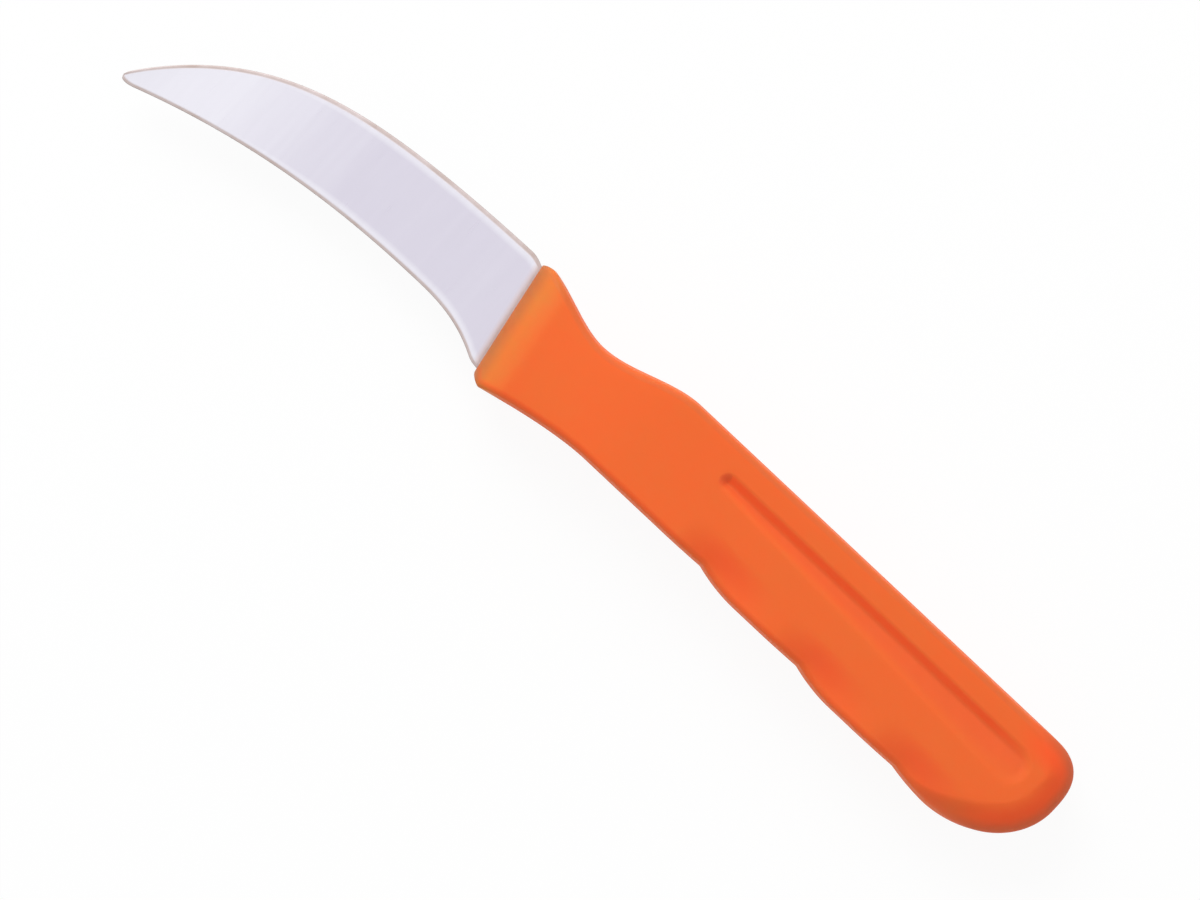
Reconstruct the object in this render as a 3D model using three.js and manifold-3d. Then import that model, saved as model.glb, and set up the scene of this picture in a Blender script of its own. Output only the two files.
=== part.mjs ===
// A curved mushroom and paring knife: a stamped steel blade whose pierced tang sits inside a moulded handle
// of one piece with a thumb saddle, three finger steps and a shallow sloping recess in each side.
// Millimetres. The knife lies on its side: +X runs from tip to butt, +Y from cutting edge to spine, +Z up.

import * as THREE from "three";
import { LoftGeometry } from "three/addons/geometries/LoftGeometry.js";
import { mergeVertices } from "three/addons/utils/BufferGeometryUtils.js";
import Module from "manifold-3d";

const { clamp, degToRad, lerp, smoothstep } = THREE.MathUtils;

// Driving dimensions of the handle: lengths from its front face, heights and depths from the knife's axis.
const HANDLE_LENGTH = 105.7;
const HANDLE_THICKNESS = 14;
const BACK_HEIGHT = 8.4;
const BELLY_DEPTH = 8.6;
const EDGE_ROUND = 1.1;
const BUTT_EDGE_ROUND = 5.6;
const BUTT_EDGE_LENGTH = 14;
const BUTT_EDGE_FULL = 4;
const BUTT_EDGE_LEAN = 0.5;
const WALL_CROWN = 0.3;
const FRONT_SLANT = 7;
const FRONT_SLANT_LENGTH = 30;
const FRONT_TOP_ROUND = 0.9;
const FRONT_BELLY_ROUND = 3;
const FRONT_BELLY_FULLNESS = 1.3;
const BUTT_TOP_ROUND = 8;
const BUTT_TOP_HEIGHT = 7.8;
const BUTT_TOP_FULLNESS = 2.9;
const BUTT_BELLY_ROUND = 14.7;

// Neck: the handle thins towards the blade. There its sides are slightly crowned and its front rim is rolled.
const NECK_THICKNESS = 11.4;
const NECK_LENGTH = 27;
const NECK_CROWN = 0.4;
const RIM_WIDTH = 5.5;
const RIM_DEPTH = 3.2;
const RIM_FULLNESS = 1.5;

// Thumb saddle in the back and guard under the heel of the blade.
const THUMB_AT = 13.6;
const THUMB_END = 29.2;
const THUMB_DEPTH = 3.5;
const GUARD_LENGTH = 21.5;
const GUARD_DEPTH = 3.35;
const GUARD_CURVE = 1.55;

// Finger steps along the belly, set out from the butt, and the scoop that each leaves in the side.
const FINGER_STEPS = 3;
const FINGER_PITCH = 19.85;
const FINGER_TO_BUTT = 21.1;
const FINGER_RISE = 7.7;
const FINGER_CREST = 1.15;
const FINGER_LAST_CREST = 0.8;
const FINGER_FALL = 0.15;
const SCOOP_DEPTH = 1.3;
const SCOOP_LEAD = 6.1;
const SCOOP_BOTTOM = 1.8;
const SCOOP_LENGTH = 13.4;
const SCOOP_HEIGHT = 5.4;

// Recess in each side: a widening trough, round at both ends and deepest along its upper wall.
const RECESS_AT = 38;
const RECESS_TO_BUTT = 6.2;
const RECESS_FROM_BACK = 3.8;
const RECESS_FRONT_WIDTH = 3.4;
const RECESS_REAR_WIDTH = 6.8;
const RECESS_DEPTH = 0.95;
const RECESS_WALL = 1.9;
const RECESS_RUN_OUT = 10;
const RECESS_END_DEPTH = 0.5;

// Blade, measured forward from the handle's front face.
const BLADE_LENGTH = 63.9;
const BLADE_THICKNESS = 1.5;
const TIP_THICKNESS = 0.8;
const EDGE_THICKNESS = 0.1;
const BEVEL_WIDTH = 0.6;
const BEVEL_THICKNESS = 0.36;
const SPINE_STEP = 0.4;
const SPINE_SAG = 6.3;
const SPINE_SWEEP = 14.9;
const SPINE_CURVE = 5;
const SHOULDER_LENGTH = 3;
const EDGE_DEPTH = 6.45;
const EDGE_SWEEP = 8.5;
const EDGE_CURVE = 2.2;
const NOSE_LENGTH = 2.4;
const NOSE_RISE = 1.1;
const NOSE_FALL = 0.2;
const HEEL_LENGTH = 12.8;
const HEEL_WALL = 2.7;
const HEEL_CURVE = 2.5;

// Tang: it starts in a shouldered root and is pierced for the plastic that keys it in.
const ROOT_LENGTH = 3;
const ROOT_WALL = 2.6;
const TANG_OVERLAP = 1;
const TANG_LENGTH = 70;
const TANG_FRONT_WIDTH = 8.5;
const TANG_REAR_WIDTH = 7;
const TANG_DROP = 0.5;
const TANG_HOLES = 2;
const TANG_HOLE = 4.6;
const TANG_HOLE_AT = 22;
const TANG_HOLE_PITCH = 28;
const CLEARANCE = 0.3;

const HANDLE_COLOUR = 0xef6c38;
const BLADE_COLOUR = 0xdcdae2;

// Mesh fineness.
const RIM_STATIONS = 8;
const SIDE_STATION_PITCH = 2;
const BUTT_STATIONS = 16;
const WALL_ROWS = 2;
const ROUND_ROWS = 5;
const ROUND_LIMIT = 0.45;
const ROUND_SHARE = 0.8;
const SIDE_ROWS = 8;
const RAIL_SAMPLES = 300;
const RECESS_STATIONS = 28;
const BLADE_STATIONS = 44;
const CURVE_SEGMENTS = 12;
const MERGE_DISTANCE = 1e-4;

const QUARTER_TURN = Math.PI / 2;

const wasm = await Module();
wasm.setup();

// A closed geometry as a solid that can be joined and cut. Triangles that a closed end folds up are left out.
function solid(geometry) {
  const bare = new THREE.BufferGeometry();
  bare.setAttribute("position", geometry.getAttribute("position"));
  bare.setIndex(geometry.getIndex());
  const merged = mergeVertices(bare, MERGE_DISTANCE);
  const vertProperties = merged.getAttribute("position").array;
  const corners = merged.getIndex().array;
  const kept = [];
  for (let i = 0; i < corners.length; i += 3) {
    const [a, b, c] = corners.slice(i, i + 3);
    if (a !== b && b !== c && c !== a) kept.push(a, b, c);
  }
  const triVerts = Uint32Array.from(kept);
  return new wasm.Manifold(new wasm.Mesh({ numProp: 3, vertProperties, triVerts }));
}

// A solid's surface as a geometry.
function surface(made) {
  const mesh = made.getMesh();
  const geometry = new THREE.BufferGeometry();
  geometry.setAttribute("position", new THREE.BufferAttribute(mesh.vertProperties, 3));
  geometry.setIndex(new THREE.BufferAttribute(mesh.triVerts, 1));
  geometry.computeVertexNormals();
  return geometry;
}

// Height of a quarter circle of radius 1 over its start, staying at 1 beyond it. A higher power is fuller.
function quarterRound(t, power = 2) {
  return (1 - (1 - clamp(t, 0, 1)) ** power) ** (1 / power);
}

// Where finger step i starts.
function fingerAt(i) {
  return HANDLE_LENGTH - FINGER_TO_BUTT - (FINGER_STEPS - 1 - i) * FINGER_PITCH;
}

// How far the finger steps push the belly out at u: it draws in up to each step, then swells to a crest.
function fingerDrop(u) {
  let drop = 0;
  for (let i = 0; i < FINGER_STEPS; i++) {
    const along = u - fingerAt(i);
    const draw = clamp(1 + along / FINGER_RISE, 0, 1) ** 2;
    const swell = 1 - (1 - clamp(along / FINGER_RISE, 0, 1)) ** 2;
    const crest = i < FINGER_STEPS - 1 ? FINGER_CREST : FINGER_LAST_CREST;
    drop += crest * swell - FINGER_FALL * draw;
  }
  return drop;
}

// Rails of the handle: height of its back and of its belly at the distance u behind the front face.
function backAt(u) {
  const saddle = smoothstep(u, 0, THUMB_AT) - smoothstep(u, THUMB_AT, THUMB_END);
  const corner = FRONT_TOP_ROUND * (1 - quarterRound(u / FRONT_TOP_ROUND));
  const butt = BUTT_TOP_HEIGHT * (1 - quarterRound((HANDLE_LENGTH - u) / BUTT_TOP_ROUND, BUTT_TOP_FULLNESS));
  return BACK_HEIGHT - THUMB_DEPTH * saddle - corner - butt;
}

function bellyAt(u) {
  const depth = BELLY_DEPTH + GUARD_DEPTH * Math.max(1 - u / GUARD_LENGTH, 0) ** GUARD_CURVE + fingerDrop(u);
  const corner = FRONT_BELLY_ROUND * (1 - quarterRound(u / FRONT_BELLY_ROUND, FRONT_BELLY_FULLNESS));
  const buttHeight = BACK_HEIGHT - BUTT_TOP_HEIGHT + depth;
  const butt = buttHeight * (1 - quarterRound((HANDLE_LENGTH - u) / BUTT_BELLY_ROUND));
  return -depth + corner + butt;
}

// Places along the handle where it is sectioned: closer at the rim and round the butt, and on each step.
// At the last one the rails meet, so that the butt closes in an upright line.
function handleStations() {
  const buttAt = HANDLE_LENGTH - BUTT_BELLY_ROUND;
  const marks = [RIM_WIDTH];
  for (let i = 0; i < FINGER_STEPS; i++) marks.push(fingerAt(i));
  marks.push(buttAt);
  const stations = [];
  for (let i = 0; i < RIM_STATIONS; i++) {
    stations.push(RIM_WIDTH * (1 - Math.cos((i / RIM_STATIONS) * QUARTER_TURN)));
  }
  for (let i = 1; i < marks.length; i++) {
    const count = Math.ceil((marks[i] - marks[i - 1]) / SIDE_STATION_PITCH);
    for (let j = 0; j < count; j++) stations.push(lerp(marks[i - 1], marks[i], j / count));
  }
  for (let i = 0; i <= BUTT_STATIONS; i++) {
    stations.push(buttAt + BUTT_BELLY_ROUND * Math.sin((i / BUTT_STATIONS) * QUARTER_TURN));
  }
  return stations;
}

// Distance from a point of the side to the nearer rail, taken as a polyline that is finest at both ends.
const railLines = [];
for (const railAt of [backAt, bellyAt]) {
  const points = [];
  for (let i = 0; i <= RAIL_SAMPLES; i++) {
    const u = HANDLE_LENGTH * (1 - Math.cos((i / RAIL_SAMPLES) * 2 * QUARTER_TURN)) / 2;
    points.push(new THREE.Vector3(u, railAt(u), 0));
  }
  for (let i = 1; i < points.length; i++) railLines.push(new THREE.Line3(points[i - 1], points[i]));
}
function railDistance(u, y) {
  const point = new THREE.Vector3(u, y, 0);
  const near = new THREE.Vector3();
  return Math.min(...railLines.map((line) => line.closestPointToPoint(point, true, near).distanceTo(point)));
}

// Depth of the scoops that the finger steps leave in the side: full up to the straight line through the feet
// of the steps, fading above it.
function scoopDepth(u, y) {
  const line = FINGER_FALL - BELLY_DEPTH - ((FINGER_CREST - FINGER_FALL) * (u - fingerAt(0))) / FINGER_PITCH;
  const faded = smoothstep(y - line, 0, SCOOP_HEIGHT);
  let dip = 0;
  for (let i = 0; i < FINGER_STEPS; i++) {
    const along = u - fingerAt(i);
    dip += smoothstep(along, -SCOOP_LEAD, SCOOP_BOTTOM) - smoothstep(along, SCOOP_BOTTOM, SCOOP_LENGTH);
  }
  return SCOOP_DEPTH * dip * (1 - faded);
}

// Half thickness of the handle at the distance u behind the front face and the height y, with sharp edges.
function sideHalf(u, y) {
  const back = backAt(u);
  const belly = bellyAt(u);
  const neck = smoothstep(u, 0, NECK_LENGTH);
  const rim = RIM_DEPTH * (1 - quarterRound(u / RIM_WIDTH, RIM_FULLNESS));
  const crown = back > belly ? NECK_CROWN * (1 - neck) * ((2 * y - back - belly) / (back - belly)) ** 2 : 0;
  return lerp(NECK_THICKNESS, HANDLE_THICKNESS, neck) / 2 - rim - crown - scoopDepth(u, y);
}

// Radius between side and back or belly: larger towards the butt, where the belly leads and the back follows,
// and never more than the thickness allows.
function edgeRound(u, y, half) {
  const toButt = HANDLE_LENGTH - u + BUTT_EDGE_LEAN * y;
  const butt = 1 - smoothstep(toButt, BUTT_EDGE_FULL, BUTT_EDGE_LENGTH);
  return Math.min(lerp(EDGE_ROUND, BUTT_EDGE_ROUND, butt), ROUND_SHARE * half);
}

// Height of the upper side over the middle plane, with its edge rounded over the distance to the nearer rail.
function sideHeight(u, y) {
  const half = sideHalf(u, y);
  const round = edgeRound(u, y, half);
  return half - round + round * quarterRound((railDistance(u, y) - WALL_CROWN) / round);
}

// Upper half of one edge of a section, from the middle plane up its crowned wall and round onto the side.
// It starts at the rail and goes inwards, which is down from the back and up from the belly.
function edgeRows(u, rail, inwards, room) {
  const half = sideHalf(u, rail);
  const round = edgeRound(u, rail, half);
  const fit = Math.min(1, (ROUND_LIMIT * room) / (WALL_CROWN + round));
  const rows = [];
  for (let i = 0; i < WALL_ROWS; i++) {
    const share = i / WALL_ROWS;
    rows.push({ y: rail + inwards * fit * WALL_CROWN * share ** 2, z: share * (half - round) });
  }
  for (let i = 0; i <= ROUND_ROWS; i++) {
    const inset = WALL_CROWN + round * (1 - Math.cos((i / ROUND_ROWS) * QUARTER_TURN));
    const y = rail + inwards * fit * inset;
    rows.push({ y, z: sideHeight(u, y) });
  }
  return rows;
}

// One closed section of the handle between its rails. The front face leans, and sections near it lean along.
function handleSection(u) {
  const back = backAt(u);
  const belly = bellyAt(u);
  const lean = Math.tan(degToRad(FRONT_SLANT)) * (1 - smoothstep(u, 0, FRONT_SLANT_LENGTH));
  const fromBack = edgeRows(u, back, -1, back - belly);
  const fromBelly = edgeRows(u, belly, 1, back - belly).reverse();
  const middle = [];
  for (let i = 1; i < SIDE_ROWS; i++) {
    const y = lerp(fromBack[fromBack.length - 1].y, fromBelly[0].y, i / SIDE_ROWS);
    middle.push({ y, z: sideHeight(u, y) });
  }
  const rows = [...fromBack, ...middle, ...fromBelly];
  const upper = rows.map(({ y, z }) => new THREE.Vector3(u - lean * y, y, z));
  const lower = upper.slice(1, -1).reverse().map((p) => new THREE.Vector3(p.x, p.y, -p.z));
  return [...upper, ...lower];
}

// Borders of the recess at u: level along the back, tapering below, with a round end at front and rear.
function recessBorders(u) {
  const top = BACK_HEIGHT - RECESS_FROM_BACK;
  const frontRadius = RECESS_FRONT_WIDTH / 2;
  const rearRadius = RECESS_REAR_WIDTH / 2;
  const front = RECESS_AT + frontRadius;
  const rear = HANDLE_LENGTH - RECESS_TO_BUTT - rearRadius;
  const width = lerp(RECESS_FRONT_WIDTH, RECESS_REAR_WIDTH, clamp((u - front) / (rear - front), 0, 1));
  const beyond = Math.max((front - u) / frontRadius, (u - rear) / rearRadius, 0);
  const half = (width / 2) * Math.sqrt(Math.max(1 - beyond ** 2, 0));
  return { upper: top - width / 2 + half, lower: top - width / 2 - half };
}

// Cutter for the recess in the upper side: a trough whose wall slopes down from the upper border to a foot,
// and whose floor rises from there to the lower border. It stands above the side as far as it reaches below.
function recessCutter() {
  const end = HANDLE_LENGTH - RECESS_TO_BUTT;
  const side = HANDLE_THICKNESS / 2;
  const sections = [];
  for (let i = 1; i < RECESS_STATIONS; i++) {
    const u = lerp(RECESS_AT, end, (1 - Math.cos((i / RECESS_STATIONS) * 2 * QUARTER_TURN)) / 2);
    const { upper, lower } = recessBorders(u);
    const runOut = smoothstep(u, end - RECESS_RUN_OUT, end);
    const depth = lerp(RECESS_DEPTH, RECESS_END_DEPTH, runOut) * quarterRound((u - RECESS_AT) / RECESS_WALL);
    const foot = upper - Math.min(RECESS_WALL, (upper - lower) / 2);
    sections.push([
      new THREE.Vector3(u, 2 * upper - foot, side + depth),
      new THREE.Vector3(u, 2 * lower - foot, side + depth),
      new THREE.Vector3(u, foot, side - depth),
    ]);
  }
  return new LoftGeometry(sections, { capStart: true, capEnd: true });
}

// Share by which the blade's rails have closed in towards each other in the nose.
function noseShare(a) {
  return 1 - quarterRound((BLADE_LENGTH - a) / NOSE_LENGTH);
}

// Rails of the blade: height of its spine and of its edge at the distance a ahead of the handle's front face.
function spineAt(a) {
  const root = (ROOT_WALL - SPINE_STEP) * (1 - smoothstep(a, -ROOT_LENGTH, SHOULDER_LENGTH));
  const along = Math.max(a, 0) / BLADE_LENGTH;
  const fall = SPINE_SAG * along ** 2 + SPINE_SWEEP * along ** SPINE_CURVE + NOSE_FALL * noseShare(a);
  return BACK_HEIGHT - SPINE_STEP - root - fall;
}

function edgeAt(a) {
  const flare = BELLY_DEPTH + GUARD_DEPTH - HEEL_WALL - EDGE_DEPTH;
  const heel = flare * (1 - clamp(a / HEEL_LENGTH, 0, 1)) ** HEEL_CURVE;
  const sweep = EDGE_SWEEP * (Math.max(a - HEEL_LENGTH, 0) / (BLADE_LENGTH - HEEL_LENGTH)) ** EDGE_CURVE;
  return -EDGE_DEPTH - heel - sweep + NOSE_RISE * noseShare(a);
}

// The blade from its root to its nose: full at the spine, thin behind the bevel and thinner towards the nose.
// With grow it is larger by that much all round, which is the space that its root needs in the handle.
function bladeGeometry(grow) {
  const sections = [];
  for (let i = 0; i <= BLADE_STATIONS; i++) {
    const a = lerp(-ROOT_LENGTH, BLADE_LENGTH, Math.sin((i / BLADE_STATIONS) * QUARTER_TURN));
    const x = i === 0 ? grow - a : -a;
    const spine = spineAt(a) + grow;
    const edge = edgeAt(a) - grow;
    const bevel = Math.min(edge + BEVEL_WIDTH, (spine + edge) / 2);
    const thickness = lerp(BLADE_THICKNESS, TIP_THICKNESS, clamp(a / BLADE_LENGTH, 0, 1));
    const upper = [
      new THREE.Vector3(x, edge, EDGE_THICKNESS / 2 + grow),
      new THREE.Vector3(x, bevel, BEVEL_THICKNESS / 2 + grow),
      new THREE.Vector3(x, spine, thickness / 2 + grow),
    ];
    const lower = upper.map((p) => new THREE.Vector3(p.x, p.y, -p.z)).reverse();
    sections.push([...upper, ...lower]);
  }
  return new LoftGeometry(sections, { capStart: true, capEnd: true });
}

// The tang as a flat strip with a round end and its holes, or with grow the space that it needs.
function tangGeometry(grow) {
  const start = ROOT_LENGTH - TANG_OVERLAP - grow;
  const front = TANG_FRONT_WIDTH / 2 + grow;
  const rear = TANG_REAR_WIDTH / 2;
  const end = TANG_LENGTH - rear;
  const outline = new THREE.Shape();
  outline.moveTo(start, -TANG_DROP - front);
  outline.lineTo(end, -TANG_DROP - rear - grow);
  outline.absarc(end, -TANG_DROP, rear + grow, -QUARTER_TURN, QUARTER_TURN);
  outline.lineTo(start, -TANG_DROP + front);
  for (let i = 0; i < TANG_HOLES; i++) {
    const hole = new THREE.Path();
    hole.absarc(TANG_HOLE_AT + i * TANG_HOLE_PITCH, -TANG_DROP, TANG_HOLE / 2 - grow, 0, 4 * QUARTER_TURN);
    outline.holes.push(hole);
  }
  const depth = BLADE_THICKNESS + 2 * grow;
  const options = { depth, bevelEnabled: false, curveSegments: CURVE_SEGMENTS };
  return new THREE.ExtrudeGeometry(outline, options).translate(0, 0, -depth / 2);
}

const blade = solid(bladeGeometry(0)).add(solid(tangGeometry(0)));

// The space for the tang leaves the plastic that fills its holes standing as keys.
const skin = solid(new LoftGeometry(handleStations().map(handleSection), { capStart: true }));
const recess = solid(recessCutter());
const handle = skin
  .subtract(recess)
  .subtract(recess.mirror([0, 0, 1]))
  .subtract(solid(bladeGeometry(CLEARANCE)))
  .subtract(solid(tangGeometry(CLEARANCE)));

function piece(name, made, finish) {
  const mesh = new THREE.Mesh(surface(made), new THREE.MeshStandardMaterial(finish));
  mesh.name = name;
  return mesh;
}

// The knife lies on one side of its handle, with the middle of its footprint at the origin.
const knife = new THREE.Group();
knife.add(piece("blade", blade, { color: BLADE_COLOUR, roughness: 0.3, metalness: 1 }));
knife.add(piece("handle", handle, { color: HANDLE_COLOUR, roughness: 0.45, metalness: 0 }));
const box = new THREE.Box3().setFromObject(knife);
const middle = box.getCenter(new THREE.Vector3());
knife.position.set(-middle.x, -middle.y, -box.min.z);

const part = new THREE.Group();
part.add(knife);

export default part;
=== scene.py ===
"""A curved mushroom knife, dressed on its packed model: a moulded plastic handle and a ground steel blade.

Every length is in metres. The knife lies on its side: +X runs from tip to butt, +Y from cutting edge to
spine. Both pieces are worked out in the knife's own frame, whose origin is on the knife's axis, below the
point at which the handle's front face leans neither way. They are then put where the packed model has them.
"""

import math

import bmesh
import bpy
import numpy as np
from bpy.props import FloatProperty, FloatVectorProperty, IntProperty, PointerProperty
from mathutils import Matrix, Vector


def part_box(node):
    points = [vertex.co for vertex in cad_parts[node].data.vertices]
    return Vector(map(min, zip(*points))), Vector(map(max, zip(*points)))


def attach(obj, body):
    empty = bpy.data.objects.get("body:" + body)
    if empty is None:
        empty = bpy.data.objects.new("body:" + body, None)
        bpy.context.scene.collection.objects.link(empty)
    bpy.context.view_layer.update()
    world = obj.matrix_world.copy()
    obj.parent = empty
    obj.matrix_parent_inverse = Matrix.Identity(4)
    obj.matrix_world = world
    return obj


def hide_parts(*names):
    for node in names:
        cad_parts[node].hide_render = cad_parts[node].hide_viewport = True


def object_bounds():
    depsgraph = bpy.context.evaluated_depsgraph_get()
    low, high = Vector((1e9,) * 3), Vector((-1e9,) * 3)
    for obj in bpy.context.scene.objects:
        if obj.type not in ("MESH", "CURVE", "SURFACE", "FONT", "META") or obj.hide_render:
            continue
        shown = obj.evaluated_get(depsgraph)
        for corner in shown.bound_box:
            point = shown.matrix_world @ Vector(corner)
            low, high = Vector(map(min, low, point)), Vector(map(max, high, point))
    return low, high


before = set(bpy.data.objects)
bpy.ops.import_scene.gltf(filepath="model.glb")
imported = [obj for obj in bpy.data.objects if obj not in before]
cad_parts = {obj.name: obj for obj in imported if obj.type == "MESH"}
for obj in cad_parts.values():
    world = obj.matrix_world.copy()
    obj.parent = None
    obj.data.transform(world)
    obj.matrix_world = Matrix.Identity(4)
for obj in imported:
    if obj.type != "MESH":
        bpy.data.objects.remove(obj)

bl_info = {
    "name": "Mushroom knife",
    "version": (1, 0, 0),
    "blender": (4, 5, 0),
    "location": "View3D > Sidebar > Knife",
    "description": "Builds a curved mushroom knife with a moulded handle, and the studio that it lies in",
    "category": "Add Mesh",
}

MM = 0.001
TINY = 1e-9

CAD_LOW, CAD_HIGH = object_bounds()
HANDLE_LOW, HANDLE_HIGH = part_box("handle")
BLADE_LOW, BLADE_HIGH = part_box("blade")

# Driving sizes that place the knife's own frame in the packed model.
HANDLE_LENGTH = 105.7 * MM
BACK_HEIGHT = 8.4 * MM
FRONT_FACE = HANDLE_HIGH.x - HANDLE_LENGTH
PLACE = np.array([
    FRONT_FACE,
    HANDLE_HIGH.y - BACK_HEIGHT,
    (HANDLE_LOW.z + HANDLE_HIGH.z) / 2,
])


# Settings

def length(name, description, default):
    """A size in metres."""
    return FloatProperty(
        name=name, description=description, default=default, min=0.0, precision=5, unit="LENGTH"
    )


def size(name, description, millimetres):
    """A size, given in millimetres and kept in metres."""
    return length(name, description, millimetres * MM)


def angle(name, description, degrees):
    """An angle, given in degrees and kept in radians."""
    return FloatProperty(name=name, description=description, default=math.radians(degrees), unit="ROTATION")


def amount(name, description, default, high=1.0):
    """A plain number from nothing to high."""
    return FloatProperty(name=name, description=description, default=default, min=0.0, max=high)


def colour(name, description, default):
    """A colour in linear light."""
    return FloatVectorProperty(
        name=name, description=description, default=default, size=3, min=0.0, max=1.0, subtype="COLOR"
    )


class KnifeHandleSizes(bpy.types.PropertyGroup):
    """Sizes of the moulded handle, measured back from its front face and up from the knife's axis."""

    length: length("Length", "From the front face to the butt", HANDLE_LENGTH)
    thickness: length("Thickness", "Across both sides behind the neck", HANDLE_HIGH.z - HANDLE_LOW.z)
    back_height: length("Back height", "From the axis to the back", BACK_HEIGHT)
    belly_depth: size("Belly depth", "From the axis to the belly before the finger steps", 8.6)
    edge_round: size("Edge round", "Radius between the sides and the back and belly", 1.1)
    butt_edge_round: size("Butt edge round", "The same radius round the butt", 4.7)
    butt_edge_length: size("Butt edge length", "From the butt to where that radius begins to grow", 14.0)
    butt_edge_full: size("Butt edge full", "From the butt to where that radius is full", 4.0)
    butt_edge_lean: amount("Butt edge lean", "How much later it grows at the back than at the belly", 0.5)
    wall_crown: size("Wall crown", "How far back and belly are crowned across", 0.3)
    front_slant: angle("Front slant", "Lean of the front face towards the blade at its top", 10.5)
    slant_pivot: size("Slant pivot", "Height over the axis at which the front face leans neither way", 1.5)
    slant_length: size("Slant length", "Where the sections stand upright again", 30.0)
    front_top_round: size("Front top round", "Length of the front face's upper rounding", 2.2)
    front_top_height: size("Front top height", "Height of the front face's upper rounding", 0.9)
    front_belly_round: size("Front belly round", "Rounding of the front face's lower corner", 1.6)
    butt_top_round: size("Butt top round", "Length of the butt's upper rounding", 8.0)
    butt_top_height: size("Butt top height", "Height of the butt's upper rounding", 7.8)
    butt_belly_round: size("Butt belly round", "Length of the butt's lower rounding", 14.7)
    neck_thickness: size("Neck thickness", "Across both sides at the front", 11.4)
    neck_length: size("Neck length", "Where the sides reach their full thickness", 27.0)
    neck_crown: size("Neck crown", "How far the neck's sides are crowned", 0.4)
    rim_width: size("Rim width", "Length of the rolled front rim", 5.5)
    rim_depth: size("Rim depth", "How far the rim rolls in on each side", 3.2)
    thumb_at: size("Thumb place", "Where the thumb saddle is deepest", 13.6)
    thumb_end: size("Thumb end", "Where the thumb saddle ends", 29.2)
    thumb_depth: size("Thumb depth", "Depth of the thumb saddle", 3.5)
    guard_length: size("Guard length", "Length of the guard under the blade's heel", 21.5)
    guard_depth: size("Guard depth", "How far the guard hangs below the belly", 3.35)
    step_count: IntProperty(name="Finger steps", description="Number of finger steps", default=3, min=1)
    step_pitch: size("Step pitch", "From one finger step to the next", 19.85)
    step_to_butt: size("Step to butt", "From the last finger step to the butt", 21.1)
    step_rise: size("Step rise", "Length of a step's swell", 7.7)
    step_crest: size("Step crest", "Height of a step's swell", 1.15)
    step_last_crest: size("Last step crest", "Height of the last step's swell", 0.8)
    step_fall: size("Step fall", "How far the belly draws in up to a step", 0.15)
    scoop_depth: size("Scoop depth", "Depth of the scoop that a step leaves in the side", 1.3)
    scoop_lead: size("Scoop lead", "How far before the step its scoop begins", 6.1)
    scoop_bottom: size("Scoop bottom", "Where the scoop is deepest", 1.8)
    scoop_length: size("Scoop length", "Where the scoop has run out", 13.4)
    scoop_height: size("Scoop height", "Height over which the scoop fades above the steps", 5.4)
    recess_at: size("Recess place", "Front end of the recess in each side", 38.0)
    recess_to_butt: size("Recess to butt", "From the recess's rear end to the butt", 6.2)
    recess_from_back: size("Recess from back", "From the back to the recess's upper border", 3.8)
    recess_front_width: size("Recess front width", "Width of the recess at its front end", 3.4)
    recess_rear_width: size("Recess rear width", "Width of the recess at its rear end", 6.8)
    recess_depth: size("Recess depth", "Depth at the foot of the upper wall", 0.95)
    recess_wall: size("Recess wall", "Run of the recess's wall, seen square to the side", 1.9)
    recess_run_out: size("Recess run-out", "From the recess's rear end to where it grows shallow", 10.0)
    recess_end_depth: size("Recess end depth", "Depth at the recess's rear end", 0.5)
    slot_gap: size("Slot gap", "Gap between blade and plastic", 0.1)
    slot_lip: size("Slot lip", "Rounding of the blade slot's mouth", 0.3)
    ridge_height: size("Parting ridge height", "Height of the mould's parting line", 0.05)
    ridge_width: size("Parting ridge width", "Half width of the mould's parting line", 0.16)


class KnifeBladeSizes(bpy.types.PropertyGroup):
    """Sizes of the blade, measured forward from the handle's front face and up from the knife's axis."""

    length: length("Length", "From the handle's front face to the nose", FRONT_FACE - BLADE_LOW.x)
    thickness: length("Thickness", "Across the spine at the handle", BLADE_HIGH.z - BLADE_LOW.z)
    tip_thickness: size("Tip thickness", "Across the spine at the nose", 0.8)
    edge_thickness: size("Edge thickness", "Across the cutting edge", 0.06)
    bevel_width: size("Bevel width", "Width of the cutting bevel", 0.6)
    bevel_thickness: size("Bevel thickness", "Across the blade where the bevel begins", 0.36)
    corner_round: size("Corner round", "Rounding of the spine's corners", 0.2)
    spine_step: size("Spine step", "From the handle's back down to the spine", 0.4)
    spine_sag: size("Spine sag", "Fall of the spine over its whole length", 6.3)
    spine_sweep: size("Spine sweep", "Further fall of the spine at the nose", 14.9)
    shoulder_length: size("Shoulder length", "Where the spine leaves the shouldered root", 3.6)
    root_length: size("Root length", "How far the root goes into the handle", 3.0)
    root_wall: size("Root wall", "From the handle's back down to the root", 2.6)
    edge_depth: size("Edge depth", "From the axis down to the cutting edge", 6.45)
    edge_sweep: size("Edge sweep", "Fall of the cutting edge towards the nose", 8.5)
    heel_length: size("Heel length", "Where the cutting edge leaves the heel's flare", 12.8)
    heel_drop: size("Heel drop", "How far the heel flares below the cutting edge", 2.8)
    nose_length: size("Nose length", "Where edge and spine begin to close in", 2.4)
    nose_rise: size("Nose rise", "How far the edge turns up at the nose", 1.1)
    nose_fall: size("Nose fall", "How far the spine turns down at the nose", 0.2)
    nose_round: size("Nose round", "Rounding of the nose's end", 0.35)


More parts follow.
